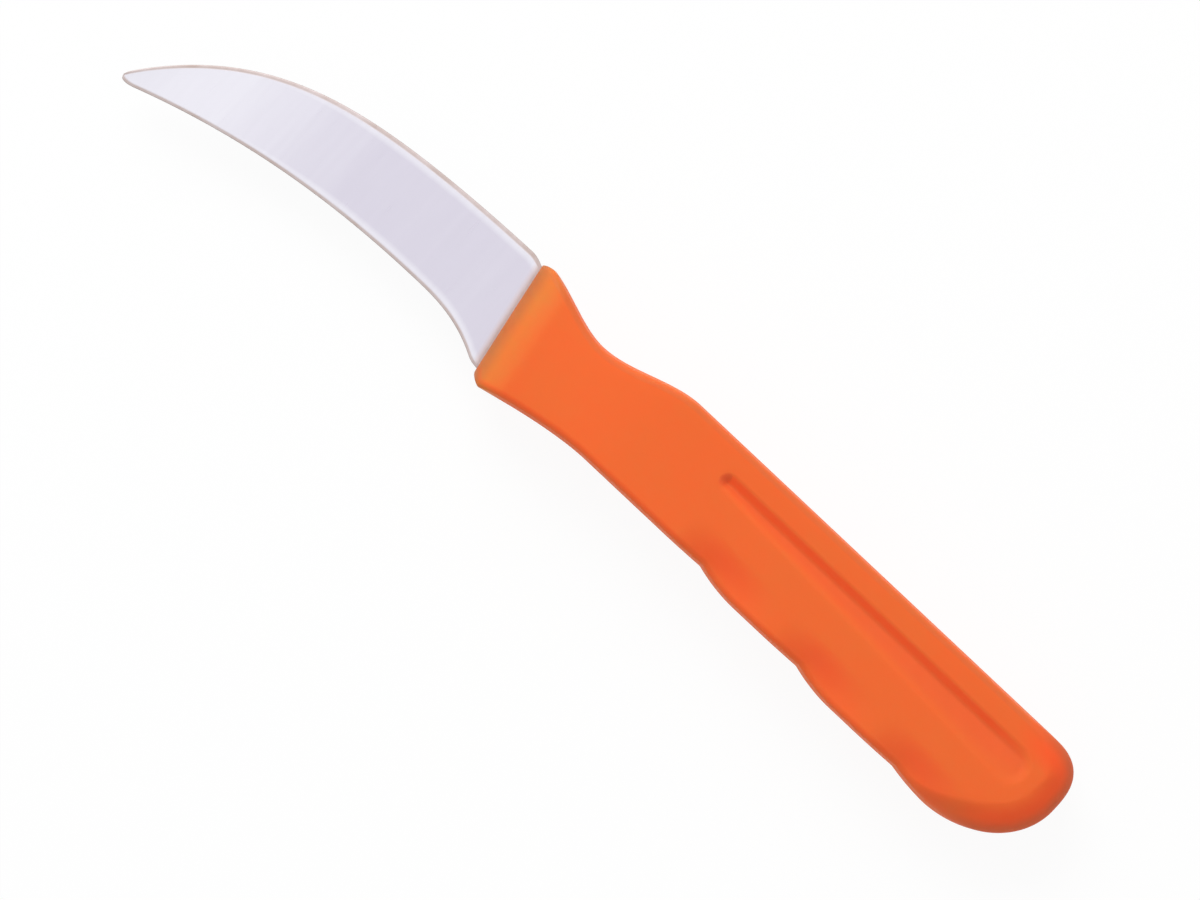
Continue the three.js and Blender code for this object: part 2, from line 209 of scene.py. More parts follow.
class KnifeFinish(bpy.types.PropertyGroup):
    """Colours and surface of the plastic and the steel."""

    plastic: colour("Plastic", "Colour of the moulded plastic", (0.860, 0.155, 0.034))
    # Painted shade: the redder colour where shade falls, also the far end of the pigment's drift.
    plastic_drift_and_shade: colour("Deep plastic", "Colour of the redder painted shade, and of the pigment's drift", (1.000, 0.120, 0.030))
    # Painted highlight: the paler, yellower colour of the lit rim.
    plastic_rim_highlight: colour("Plastic in painted highlight", "Colour of the rim's painted highlight", (0.710, 0.221, 0.042))
    # Painted shade: the darker colour where shade falls.
    plastic_grimed: colour("Plastic in dark painted shade", "Colour where it holds grime", (0.390, 0.135, 0.056))
    plastic_roughness: amount("Plastic roughness", "Roughness of the moulded surface", 0.55)
    plastic_grain: size("Plastic grain", "Size of the moulded surface's fine grain", 0.35)
    steel: colour("Steel", "Colour of the ground steel", (0.671, 0.641, 0.736))
    # Painted highlight: the brighter colour towards the nose and beside the edges.
    steel_painted_highlight: colour("Bright steel", "Colour at the nose and beside the edges", (0.800, 0.786, 0.855))
    # Painted dark reflection along edge and spine, and painted shade at the joint.
    steel_painted_shade: colour("Steel in painted shade", "Colour along edge, spine and joint", (0.516, 0.432, 0.408))
    steel_roughness: amount("Steel roughness", "Roughness of the ground flats", 0.3)
    steel_grain: size("Steel grain", "Spacing of the grinding lines", 0.22)


class KnifeStage(bpy.types.PropertyGroup):
    """Floor, light and camera."""

    floor_size: length("Floor size", "Side of the floor", 4.0)
    floor: colour("Floor", "Colour of the floor", (0.94, 0.94, 0.94))
    floor_glow: amount("Floor glow", "Share of plain white in the floor, as the camera sees it", 0.93)
    ambient: amount("Ambient", "Level of the light from all round", 0.58)
    key_power: amount("Key power", "Watts of the soft box beyond the blade", 12.4, 100.0)
    key_size: length("Key size", "Side of the soft box", 0.8)
    key_distance: length("Key distance", "From the knife to the soft box", 1.3)
    key_height: angle("Key height", "Height of the soft box above the floor", 40.0)
    key_turn: angle("Key turn", "Turn of the soft box from the top of the picture to its left", 12.0)
    view_width: size("View width", "Width of the picture at the knife's middle plane", 172.44)
    view_turn: angle("View turn", "Turn of the picture about the upright axis", 43.225)
    view_behind: size("View behind", "From the handle's front face back to the picture's middle", 23.0)
    view_below: size("View below", "From the knife's axis down to the picture's middle", 6.17)
    lens: FloatProperty(name="Lens", description="Focal length", default=180.0, min=1.0, unit="CAMERA")


# Curves that the shapes are made of

def ease(x, start, end):
    """Eased step: 0 up to start, 1 from end on, and 3 t^2 - 2 t^3 at the share t of the way between."""
    t = np.clip((x - start) / (end - start), 0.0, 1.0)
    return t * t * (3.0 - 2.0 * t)


def quarter_round(t, power=2.0, start=None):
    """Height of a quarter circle of radius 1 over its start, held at 1 beyond it. A higher power is
    fuller, and the start of the curve may have a power of its own."""
    return (1.0 - (1.0 - np.clip(t, 0.0, 1.0)) ** power) ** (1.0 / (start or power))


def blend(a, b, t):
    """The value the share t of the way from a to b."""
    return a + (b - a) * t


def spaced(marks, pitches):
    """Places from the first mark to the last, each stretch between marks cut evenly at about its pitch."""
    stretches = [
        np.linspace(start, end, max(2, math.ceil((end - start) / pitch)), endpoint=False)
        for start, end, pitch in zip(marks[:-1], marks[1:], pitches)
    ]
    return np.concatenate(stretches)


# Handle

# Powers of the curves: 2 gives a circle, and a higher one a fuller curve.
FRONT_TOP_POWER = 1.3
FRONT_BELLY_POWER = 1.3
BUTT_POWER = 2.9
EDGE_FULLNESS = 2.0
BUTT_EDGE_FULLNESS = 1.4
GUARD_POWER = 1.55
RIM_POWER = 1.5

# The edge radius keeps within this share of the half thickness.
ROUND_SHARE = 0.8

# How close the sections stand, and how finely the rails are sampled.
BODY_PITCH = 0.4 * MM
FINE_PITCH = 0.18 * MM
RECESS_LEAD = 0.5 * MM
RIM_STATIONS = 30
BUTT_STATIONS = 64
RAIL_SAMPLES = 900
RAIL_CHUNKS = 96

# Rows of a section: up the wall, round the edge, down the recess's wall and over the middle.
WALL_SHARES = np.array([0.0, 0.015, 0.03, 0.05, 0.08, 0.16, 0.3, 0.45, 0.6, 0.75, 0.9])
WALLS = len(WALL_SHARES)
ROUND_ANGLES = np.radians(np.linspace(0.0, 90.0, 19))
STEEPEST = 3.0
RECESS_ROWS = 28
RECESS_REACH = 4.4 * MM
MIDDLE_ROWS = 30
LEAST_MIDDLE = 2.0 * MM

# The blade's slot, the front face round it, and where the parting ridge ends at the butt.
SLOT_MARGIN = 0.5 * MM
MOUTH_MARGIN = 0.1 * MM
FACE_SHARES = np.array([0.2, 0.5, 0.8])
SLOT_DEPTHS = np.array([3.2, 1.6, 0.6, 0.2, 0.12, 0.06, 0.02, 0.0]) * MM
RIDGE_END = 0.2 * MM

# Painted light and shade: a paler highlight on the rim, and a redder and a darker colour where shade falls.
# A reach is a share of the rim's width or of the butt's edge radius, from full to nothing.
SLOPE_STEP = 0.1 * MM
RIM_HIGHLIGHT_REACH = (1.0 / 3.0, 1.2)
SCOOP_STEEP = 0.4
SCOOP_EDGE = 0.8
SCOOP_DARK_SHADE = 0.19
RECESS_SLOPES = (0.25, 0.75)
RECESS_PAINTED_SHADE = 0.85
END_WALL = 2.5
END_DARK_SHADE = 0.25
FLOOR_FULL = 0.7
FLOOR_PAINTED_SHADE = 0.55
FLOOR_DARK_SHADE = 0.2
BELLY_EDGE_SHADE = 0.5
BACK_EDGE_DARK_SHADE = 0.34
BUTT_REACH = (0.5, 1.2)
BUTT_DARK_SHADE = 0.55
BUTT_DARK_SHADE_REACH = 2.2 * MM
JOINT_DARK_SHADE = 0.75
JOINT_DARK_SHADE_REACH = 2.6 * MM


def step_starts(h):
    """Distance from the front face to each finger step: set out from the butt, one pitch apart."""
    return h.length - h.step_to_butt - h.step_pitch * np.arange(h.step_count)[::-1]


def step_swell(h, u):
    """How far the finger steps push the belly out: a parabola draws in up to each, another swells after."""
    along = (u[..., None] - step_starts(h)) / h.step_rise
    draw = np.clip(1.0 + along, 0.0, 1.0) ** 2
    swell = 1.0 - (1.0 - np.clip(along, 0.0, 1.0)) ** 2
    crests = np.full(h.step_count, h.step_crest)
    crests[-1] = h.step_last_crest
    return (crests * swell - h.step_fall * draw).sum(-1)


def back_rail(h, u):
    """Height of the back at u: level, less an eased thumb saddle and the roundings of front and butt."""
    saddle = ease(u, 0.0, h.thumb_at) - ease(u, h.thumb_at, h.thumb_end)
    corner = h.front_top_height * (1.0 - quarter_round(u / h.front_top_round, FRONT_TOP_POWER))
    butt = h.butt_top_height * (1.0 - quarter_round((h.length - u) / h.butt_top_round, BUTT_POWER))
    return h.back_height - h.thumb_depth * saddle - corner - butt


def belly_rail(h, u):
    """Height of the belly at u: level, with the guard's power curve and the steps, rounded at both ends."""
    guard = h.guard_depth * np.clip(1.0 - u / h.guard_length, 0.0, 1.0) ** GUARD_POWER
    depth = h.belly_depth + guard + step_swell(h, u)
    corner = h.front_belly_round * (1.0 - quarter_round(u / h.front_belly_round, FRONT_BELLY_POWER))
    butt_height = h.back_height - h.butt_top_height + depth
    butt = butt_height * (1.0 - quarter_round((h.length - u) / h.butt_belly_round))
    return -depth + corner + butt


def rail_distance(h, u, y):
    """Distance from points of the side to the nearest of back, butt and belly, taken as one fine polyline
    that goes through every section's ends."""
    turn = np.linspace(0.0, math.pi, RAIL_SAMPLES)
    along = np.union1d(h.length * (1.0 - np.cos(turn)) / 2.0, u[:, 0])
    path = np.concatenate([
        np.stack([along, back_rail(h, along)], -1),
        np.stack([along, belly_rail(h, along)], -1)[-2::-1],
    ])
    start, step = path[:-1], np.diff(path, axis=0)
    square = (step ** 2).sum(-1)
    middle = start + step / 2.0
    points = np.stack([u, y], -1).reshape(-1, 2)
    nearest = []
    for part in np.array_split(points, RAIL_CHUNKS):
        gap = part[:, None, :] - middle
        pick = (gap ** 2).sum(-1).argmin(-1)
        best = np.full(len(part), np.inf)
        for shift in (-1, 0, 1):
            i = np.clip(pick + shift, 0, len(start) - 1)
            rise = part - start[i]
            share = np.clip((rise * step[i]).sum(-1) / square[i], 0.0, 1.0)
            best = np.minimum(best, np.hypot(*(rise - share[:, None] * step[i]).T))
        nearest.append(best)
    return np.concatenate(nearest).reshape(u.shape)


def front_lean(h, y):
    """How far back the front face stands at the height y: nothing at the pivot, and evenly more below it."""
    return math.tan(h.front_slant) * (h.slant_pivot - y)


def scoop_dip(h, u, y):
    """Depth of the scoops: an eased rise and a longer eased fall along each step, full up to the straight
    line through the feet of the steps and eased off above it."""
    along = u[..., None] - step_starts(h)
    fall = (h.step_crest - h.step_fall) / h.step_pitch
    line = h.step_fall - h.belly_depth - fall * along[..., 0]
    faded = ease(y - line, 0.0, h.scoop_height)
    dip = ease(along, -h.scoop_lead, h.scoop_bottom) - ease(along, h.scoop_bottom, h.scoop_length)
    return h.scoop_depth * dip.sum(-1) * (1.0 - faded)


def recess_dip(h, u, y):
    """Depth of the recess: inside the outline of two circles and their common tangents an eased wall
    leads down all round, and the floor rises evenly from the upper wall's foot to nothing at the lower
    tangent. Towards the rear the depth eases off."""
    front_radius, rear_radius = h.recess_front_width / 2.0, h.recess_rear_width / 2.0
    top = h.back_height - h.recess_from_back
    end = h.length - h.recess_to_butt
    front = np.array([h.recess_at + front_radius, top - front_radius])
    rear = np.array([end - rear_radius, top - rear_radius])
    span = math.dist(front, rear)
    axis = (rear - front) / span
    point = np.stack([u, y], -1) - front
    along = point @ axis
    across = point @ np.array([-axis[1], axis[0]])
    sine = (front_radius - rear_radius) / span
    cosine = math.sqrt(1.0 - sine ** 2)
    turn = along * cosine - np.abs(across) * sine
    inside = np.where(
        turn < 0.0,
        front_radius - np.hypot(along, across),
        np.where(
            turn > cosine * span,
            rear_radius - np.hypot(along - span, across),
            front_radius - np.abs(across) * cosine - along * sine,
        ),
    )
    half_width = blend(front_radius, rear_radius, np.clip(along / span, 0.0, 1.0))
    run = np.maximum(2.0 * half_width - h.recess_wall, TINY)
    floor = np.clip((half_width + across) / run, 0.0, 1.0)
    depth = blend(h.recess_depth, h.recess_end_depth, ease(u, end - h.recess_run_out, end))
    return depth * floor * ease(inside, 0.0, h.recess_wall)


def slopes_of(dip, h, u, y):
    """Slopes of a depth along and up the side, by differences over a short step."""
    along = dip(h, u + SLOPE_STEP, y) - dip(h, u - SLOPE_STEP, y)
    up = dip(h, u, y + SLOPE_STEP) - dip(h, u, y - SLOPE_STEP)
    return along / (2.0 * SLOPE_STEP), up / (2.0 * SLOPE_STEP)


def side_half(h, u, y):
    """Half thickness before the edges are rounded: the neck's eased swelling, less rim, crown and scoops."""
    back, belly = back_rail(h, u), belly_rail(h, u)
    neck = ease(u, 0.0, h.neck_length)
    rim = h.rim_depth * (1.0 - quarter_round(u / h.rim_width, RIM_POWER))
    height = np.maximum(back - belly, TINY)
    crown = h.neck_crown * (1.0 - neck) * ((2.0 * y - back - belly) / height) ** 2
    return blend(h.neck_thickness, h.thickness, neck) / 2.0 - rim - crown - scoop_dip(h, u, y)


def butt_share(h, u, y):
    """How far the edge has grown into the butt's, from 0 to 1: eased along, the belly before the back."""
    return 1.0 - ease(h.length - u + h.butt_edge_lean * y, h.butt_edge_full, h.butt_edge_length)


def edge_radius(h, u, y, half):
    """Radius between side and back or belly: larger at the butt, within what the thickness allows."""
    return np.minimum(blend(h.edge_round, h.butt_edge_round, butt_share(h, u, y)), ROUND_SHARE * half)


def wall_crown(h, u):
    """How far back and belly are crowned across: eased away at the rim and at the butt."""
    butt = ease(u, h.length - h.butt_edge_length, h.length - h.butt_edge_full)
    return h.wall_crown * (ease(u, 0.0, h.rim_width) - butt)


def side_height(h, u, y, edge):
    """Height of the side over the middle plane: half thickness, rounded off at the edges by a quarter
    circle over the distance to the rails, which is flatter and meets the side more crisply at the butt,
    less the recess."""
    half = side_half(h, u, y)
    radius = edge_radius(h, u, y, half)
    power = blend(EDGE_FULLNESS, BUTT_EDGE_FULLNESS, butt_share(h, u, y))
    turn = quarter_round((edge - wall_crown(h, u)) / radius, power, EDGE_FULLNESS)
    return half - radius + radius * turn - recess_dip(h, u, y)


def handle_stations(h):
    """Distances from the front face to the handle's sections: close at the rim, butt and recess ends."""
    turn = np.linspace(0.0, math.pi / 2.0, RIM_STATIONS, endpoint=False)
    rim = h.rim_width * (1.0 - np.cos(turn))
    recess_end = h.length - h.recess_to_butt
    butt = h.length - h.butt_belly_round
    marks = [h.rim_width, h.recess_at - RECESS_LEAD, h.recess_at + h.recess_front_width, butt]
    body = spaced(marks, [BODY_PITCH, FINE_PITCH, BODY_PITCH])
    turn = np.linspace(0.0, math.pi / 2.0, BUTT_STATIONS)
    end = butt + h.butt_belly_round * np.sin(turn)
    recess = spaced([recess_end - h.recess_wall, recess_end], [FINE_PITCH])
    return np.concatenate([rim, body, np.sort(np.concatenate([end, recess]))])


def edge_rows(h, u, rail):
    """Rows of one edge of every section, from the middle plane up its parabolic crowned wall and round a
    quarter circle onto the side: how far up or down from the rail each row lies, which is further where
    the rail slopes, and the height of those on the wall."""
    half = side_half(h, u, rail)
    radius = edge_radius(h, u, rail, half)[:, None]
    crown = wall_crown(h, u)[:, None]
    wall = crown * WALL_SHARES ** 2
    turned = crown + radius * (1.0 - np.cos(ROUND_ANGLES))
    slope = np.minimum(np.hypot(1.0, np.gradient(rail, u)), STEEPEST)[:, None]
    return slope * np.concatenate([wall, turned], axis=1), (half[:, None] - radius) * WALL_SHARES


def drawn_in(rows, fit):
    """An edge's rows with those beyond its wall drawn together towards it by the share fit."""
    foot = rows[:, WALLS:WALLS + 1]
    return np.concatenate([rows[:, :WALLS], foot + fit * (rows[:, WALLS:] - foot)], axis=1)


def side_grid(h, u):
    """The upper half of every section, from back to belly: both edges' rows, close rows down the recess's
    wall and even rows between. Returns each point's height on the knife, its height over the middle plane
    and its distance from the rails."""
    back, belly = back_rail(h, u), belly_rail(h, u)
    from_back, back_wall = edge_rows(h, u, back)
    from_belly, belly_wall = edge_rows(h, u, belly)
    recess = from_back[:, -1:] + RECESS_REACH * np.arange(1, RECESS_ROWS + 1) / RECESS_ROWS
    from_back = np.concatenate([from_back, recess], axis=1)
    feet = from_back[:, WALLS] + from_belly[:, WALLS]
    room = from_back[:, -1] + from_belly[:, -1] + LEAST_MIDDLE - feet
    fit = np.clip((back - belly - feet) / room, 0.0, 1.0)[:, None]
    upper = back[:, None] - drawn_in(from_back, fit)
    lower = belly[:, None] + drawn_in(from_belly, fit)[:, ::-1]
    share = np.arange(1, MIDDLE_ROWS + 1) / (MIDDLE_ROWS + 1)
    y = np.concatenate([upper, blend(upper[:, -1:], lower[:, :1], share), lower], axis=1)
    along = np.broadcast_to(u[:, None], y.shape)
    edge = rail_distance(h, along, y)
    z = side_height(h, along, y, edge)
    z[:, :WALLS] = back_wall
    z[:, -WALLS:] = belly_wall[:, ::-1]
    return y, z, edge


def round_loop(upper, mirror=1.0):
    """One side's rows, carried on round the other side to a closed loop."""
    return np.concatenate([upper, mirror * upper[:, -2:0:-1]], axis=1)


def loop_points(x, y, z):
    """Points of closed loops from the rows of one side, with the other side as its mirror image."""
    return np.stack([round_loop(x), round_loop(y), round_loop(z, -1.0)], -1)


def slot_rows(h, b, y):
    """Rows of the slot that the blade sits in, from its floor up to its rounded mouth in the front face.
    Each row is the blade's section grown by the gap, and near the mouth by a quarter circle more. The
    slot ends short of the front face's lower corner, where the plastic closes round the heel."""
    spine = spine_rail(h, b, -front_lean(h, y.max(keepdims=True)))
    edge = edge_rail(b, -front_lean(h, y.min(keepdims=True)))
    grow = h.slot_gap + h.slot_lip * (1.0 - quarter_round(SLOT_DEPTHS / h.slot_lip))[:, None]
    share = (y - y.min()) / (y.max() - y.min())
    top = np.minimum(spine + grow, y.max() - MOUTH_MARGIN)
    bottom = np.maximum(edge - grow, y.min() + SLOT_MARGIN)
    height = blend(bottom, top, share)
    over = np.clip(height - edge, 0.0, spine - edge)
    ends = np.minimum(top - height, height - bottom) / (2.0 * grow)
    half = (blade_half(b, over, spine - edge, b.thickness) + grow) * quarter_round(ends)
    depth = np.broadcast_to(SLOT_DEPTHS[:, None], height.shape)
    return depth, height, half


def outward(y):
    """Which way is out on each row of a section: 1 on the back's half and -1 on the belly's."""
    rows = y.shape[1]
    return np.where(np.arange(rows) < rows / 2.0, 1.0, -1.0)


def with_ridge(h, along, x, y, z):
    """The sections' x and y with the mould's parting ridge: an eased bump over the middle plane, set off
    square to the rails, that grows over the rim and ends at the butt."""
    tangent = np.gradient(np.stack([x, y], -1), axis=0)
    tangent /= np.maximum(np.hypot(tangent[..., 0], tangent[..., 1]), TINY)[..., None]
    ridge = h.ridge_height * (1.0 - ease(np.abs(z), 0.0, h.ridge_width))
    ridge *= ease(along, 0.0, h.rim_width) * (1.0 - ease(along, h.length - RIDGE_END, h.length))
    ridge *= outward(y)
    return x - tangent[..., 1] * ridge, y + tangent[..., 0] * ridge


def painted_light_and_shade(h, along, y, edge):
    """From 0 to 1, how much painted highlight each point gets, which is at the rim, and how much painted
    shade, as a redder colour and as a darker one. Scoops and recess count by their slopes, the butt and the
    edges by the distance from the rails."""
    turned = np.clip((edge - h.wall_crown) / h.edge_round, 0.0, 1.0)
    turning = 4.0 * turned * (1.0 - turned)
    at_back = outward(y) > 0.0
    steepness = np.hypot(*slopes_of(scoop_dip, h, along, y)) / SCOOP_STEEP
    scoop = np.minimum(steepness, 1.0) * ease(turned, 0.0, SCOOP_EDGE)
    deeper, higher = slopes_of(recess_dip, h, along, y)
    front_end = ease(END_WALL * deeper, *RECESS_SLOPES)
    wall = np.maximum(front_end, ease(-higher, *RECESS_SLOPES))
    floor = ease(recess_dip(h, along, y) / h.recess_depth, 0.0, FLOOR_FULL)
    end = ease(along, h.length - h.butt_belly_round, h.length - h.butt_edge_round)
    # Painted shade, as a redder colour: in the scoops, down the recess's walls and on its floor, round the
    # butt and along the belly's edge.
    in_painted_shade = np.max([
        scoop,
        RECESS_PAINTED_SHADE * wall,
        FLOOR_PAINTED_SHADE * floor,
        end * (1.0 - ease(edge / h.butt_edge_round, *BUTT_REACH)),
        np.where(at_back, 0.0, BELLY_EDGE_SHADE * turning),
    ], axis=0)
    # Painted shade, as a darker colour: at the joint with the blade, in the recess, in the scoops towards
    # the butt, round the butt and along the back's edge.
    grimed = np.max([
        JOINT_DARK_SHADE * (1.0 - ease(along, 0.0, JOINT_DARK_SHADE_REACH)),
        FLOOR_DARK_SHADE * floor * (1.0 - wall),
        END_DARK_SHADE * front_end,
        SCOOP_DARK_SHADE * scoop * along / h.length,
        BUTT_DARK_SHADE * end * (1.0 - ease(edge, h.wall_crown, BUTT_DARK_SHADE_REACH)),
        np.where(at_back, BACK_EDGE_DARK_SHADE * turning * (1.0 - end), 0.0),
    ], axis=0)
    # Painted highlight on the rim, kept out of the painted shade.
    rim_highlight = (1.0 - ease(along / h.rim_width, *RIM_HIGHLIGHT_REACH)) * (1.0 - in_painted_shade)
    return {"rim_highlight": rim_highlight, "in_painted_shade": in_painted_shade, "grimed": grimed}


def handle_points(h, b):
    """The handle as one grid of closed loops: slot floor, slot, front face, then every section to the butt.
    Returns the points and the painted light and shade on each one. The slot and the face take those of the
    first section."""
    u = handle_stations(h)
    y, z, edge = side_grid(h, u)
    along = np.broadcast_to(u[:, None], y.shape)
    x = along + front_lean(h, y) * (1.0 - ease(along, 0.0, h.slant_length))
    x, y = with_ridge(h, along, x, y, z)
    depth, slot_y, slot_z = slot_rows(h, b, y[0])
    slot = np.stack([depth + front_lean(h, slot_y), slot_y, slot_z])
    side = np.stack([x, y, z])
    floor = slot[:, :1] * np.array([1.0, 1.0, 0.0])[:, None, None]
    face = blend(slot[:, -1:], side[:, :1], FACE_SHARES[:, None])
    rows = np.concatenate([floor, slot, face, side], axis=1)
    ahead = rows.shape[1] - len(u)
    marks = {
        key: round_loop(np.pad(value, ((ahead, 0), (0, 0)), mode="edge"))
        for key, value in painted_light_and_shade(h, along, y, edge).items()
    }
    return loop_points(*rows), marks


# Blade

# Powers of the rails' curves, and how soon the heel's flare dies away behind the face.
EDGE_POWER = 2.2
HEEL_POWER = 2.5
HEEL_BEHIND = 0.08
SPINE_POWER = 5

# The bevel and the spine's corner keep within these shares of the blade's height.
BEVEL_MOST = 0.5
CORNER_MOST = 0.25
LEAST_HEIGHT = 1e-7

# Sections, the rows of a section, and how much further the painted dark reflection reaches down from the
# spine.
BLADE_STATIONS = 300
BEVEL_SHARES = np.array([0.0, 0.25, 0.5, 0.75, 0.92, 1.0])
FLANK_SHARES = np.concatenate([[0.004, 0.012, 0.025], np.linspace(0.045, 1.0, 44)])
CORNER_ANGLES = np.radians(np.linspace(0.0, 90.0, 7))[1:]
SPINE_SHADE_GAP = 0.2 * MM


def nose_share(b, a):
    """How far spine and edge have closed in at the nose, from 0 to 1, by a quarter circle."""
    return 1.0 - quarter_round((b.length - a) / b.nose_length)


def spine_rail(h, b, a):
    """Height of the spine at the distance a ahead of the front face: a shouldered root, then a square and
    a fifth power fall towards the nose, and the nose's own turn."""
    root = (b.root_wall - b.spine_step) * (1.0 - ease(a, -b.root_length, b.shoulder_length))
    t = np.maximum(a, 0.0) / b.length
    fall = b.spine_sag * t ** 2 + b.spine_sweep * t ** SPINE_POWER + b.nose_fall * nose_share(b, a)
    return h.back_height - b.spine_step - root - fall


def edge_rail(b, a):
    """Height of the cutting edge at a: level, flared down at the heel and swept down towards the nose by
    powers, then turned up at the nose. Behind the front face the flare dies away exponentially."""
    t = a / b.heel_length
    behind = HEEL_BEHIND * (1.0 - np.exp(np.minimum(t, 0.0) / HEEL_BEHIND))
    heel = b.heel_drop * (1.0 - np.clip(t, 0.0, 1.0) + behind) ** HEEL_POWER
    t = np.maximum(a - b.heel_length, 0.0) / (b.length - b.heel_length)
    return -b.edge_depth - heel - b.edge_sweep * t ** EDGE_POWER + b.nose_rise * nose_share(b, a)


def bevel_height(b, height):
    """Width of the bevel, within a share of the blade's height where that runs out at the nose."""
    return np.minimum(b.bevel_width, BEVEL_MOST * height)


def blade_half(b, over, height, thickness):
    """Half thickness of the blade at a height over its edge: a straight bevel, then a straight flank."""
    bevel = bevel_height(b, height)
    low = blend(b.edge_thickness, b.bevel_thickness, np.clip(over / bevel, 0.0, 1.0))
    share = np.clip((over - bevel) / (height - bevel), 0.0, 1.0)
    return np.where(over < bevel, low, blend(b.bevel_thickness, thickness, share)) / 2.0


def blade_points(h, b):
    """The blade as a grid of closed loops from its root to its nose. A loop runs up one flank: bevel,
    flat flank and rounded spine corner, then down the other. The nose closes by a quarter circle in
    height and thickness, and the root by a first loop without thickness. Returns the points, and for each
    one its place along and across the blade, its distance from edge or spine, and its distance ahead of
    the handle's front face."""
    turn = np.linspace(0.0, math.pi / 2.0, BLADE_STATIONS)
    a = blend(-b.root_length, b.length, np.sin(turn))[:, None]
    a = np.concatenate([a[:1], a])
    closing = quarter_round((b.length - a) / b.nose_round)
    spine, edge = spine_rail(h, b, a), edge_rail(b, a)
    middle = blend(edge, spine, 0.5)
    spine, edge = blend(middle, spine, closing), blend(middle, edge, closing)
    height = np.maximum(spine - edge, LEAST_HEIGHT)
    thickness = blend(b.thickness, b.tip_thickness, np.clip(a / b.length, 0.0, 1.0))
    bevel = bevel_height(b, height)
    corner = np.minimum(b.corner_round, CORNER_MOST * height)
    flank = height - corner - bevel
    over = np.concatenate([bevel * BEVEL_SHARES, bevel + flank * FLANK_SHARES], axis=1)
    half = blade_half(b, over, height, thickness)
    corner_over = height - corner + corner * np.sin(CORNER_ANGLES)
    corner_half = half[:, -1:] - corner * (1.0 - np.cos(CORNER_ANGLES))
    low = np.zeros_like(a)
    over = np.concatenate([low, over, corner_over, height], axis=1)
    half = np.concatenate([low, half, corner_half, low], axis=1) * np.sqrt(closing)
    half[0] = 0.0
    y = edge + over
    x = np.broadcast_to(-a, y.shape)
    track = np.concatenate([[0.0], np.cumsum(np.hypot(np.diff(a[:, 0]), np.diff(middle[:, 0])))])
    values = {
        "along": np.broadcast_to(track[:, None], y.shape),
        "across": over,
        "from_edge": np.minimum(over, height - over - SPINE_SHADE_GAP),
        "from_handle": a + front_lean(h, y),
    }
    return loop_points(x, y, half), {key: round_loop(value) for key, value in values.items()}


# Meshes

MERGE_DISTANCE = 1e-7


def loop_faces(rows, columns):
    """Corner indices of the quads between neighbouring loops of a grid that closes on itself across."""
    row = np.arange(rows - 1)[:, None] * columns
    column = np.arange(columns)[None, :]
    after = (column + 1) % columns
    corners = [row + column, row + after, row + columns + after, row + columns + column]
    return np.stack(np.broadcast_arrays(*corners), -1).reshape(-1, 4)


def enclosed_volume(points, faces):
    """Signed volume inside the quads, by tetrahedra from the origin: positive when they face out."""
    a, b, c, d = (points[faces[:, i]] for i in range(4))
    return ((np.cross(a, b) * c).sum() + (np.cross(a, c) * d).sum()) / 6.0


def loft_object(name, grid, values):
    """A closed mesh object through the grid's loops, facing outwards, with values as point attributes.
    Loops that shrink to a line or a point at the ends are merged there."""
    rows, columns = grid.shape[:2]
    points = grid.reshape(-1, 3) + PLACE
    faces = loop_faces(rows, columns)
    if enclosed_volume(points - points.mean(0), faces) < 0.0:
        faces = faces[:, ::-1]
    mesh = bpy.data.meshes.new(name)
    mesh.from_pydata(points.tolist(), [], faces.tolist())
    for key, value in values.items():
        made = mesh.attributes.new(key, "FLOAT", "POINT")
        made.data.foreach_set("value", value.reshape(-1).astype(np.float32))
    work = bmesh.new()
    work.from_mesh(mesh)
    bmesh.ops.remove_doubles(work, verts=work.verts, dist=MERGE_DISTANCE)
    work.to_mesh(mesh)
    work.free()
    mesh.validate()
    mesh.shade_smooth()
    made = bpy.data.objects.new(name, mesh)
    bpy.context.scene.collection.objects.link(made)
    return made


def map_from_attributes(mesh, name, across, up):
    """A UV map whose two coordinates are two of the mesh's point attributes."""
    corners = np.zeros(len(mesh.loops), dtype=np.int32)
    mesh.loops.foreach_get("vertex_index", corners)
    axes = []
    for key in (across, up):
        value = np.zeros(len(mesh.vertices), dtype=np.float32)
        mesh.attributes[key].data.foreach_get("value", value)
        axes.append(value[corners])
    layer = mesh.uv_layers.new(name=name)
    layer.data.foreach_set("uv", np.stack(axes, -1).reshape(-1))


# Shader building blocks

def set_inputs(tree, made, inputs):
    """Links each named input of a node to the socket given for it, or sets it to the value given."""
    for key, value in inputs.items():
        if isinstance(value, bpy.types.NodeSocket):
            tree.links.new(value, made.inputs[key])
        else:
            made.inputs[key].default_value = value


def node(tree, kind, inputs=None, **settings):
    """A new node with its settings and inputs."""
    made = tree.nodes.new(kind)
    for key, value in settings.items():
        setattr(made, key, value)
    set_inputs(tree, made, inputs or {})
    return made


def maths(tree, operation, *values):
    """The output of a Math node on the given values or sockets."""
    return node(tree, "ShaderNodeMath", dict(enumerate(values)), operation=operation).outputs[0]


def mixed(tree, share, first, second):
    """The output of a colour Mix node, whose colour sockets are its inputs 6 and 7 and its output 2."""
    made = node(tree, "ShaderNodeMix", {0: share, 6: first, 7: second}, data_type="RGBA")
    return made.outputs[2]


def ranged(tree, value, low, high, to_low=0.0, to_high=1.0):
    """The value mapped from low..high to to_low..to_high, and held at both ends."""
    made = node(tree, "ShaderNodeMapRange", {
        "Value": value, "From Min": low, "From Max": high, "To Min": to_low, "To Max": to_high,
    })
    return made.outputs["Result"]


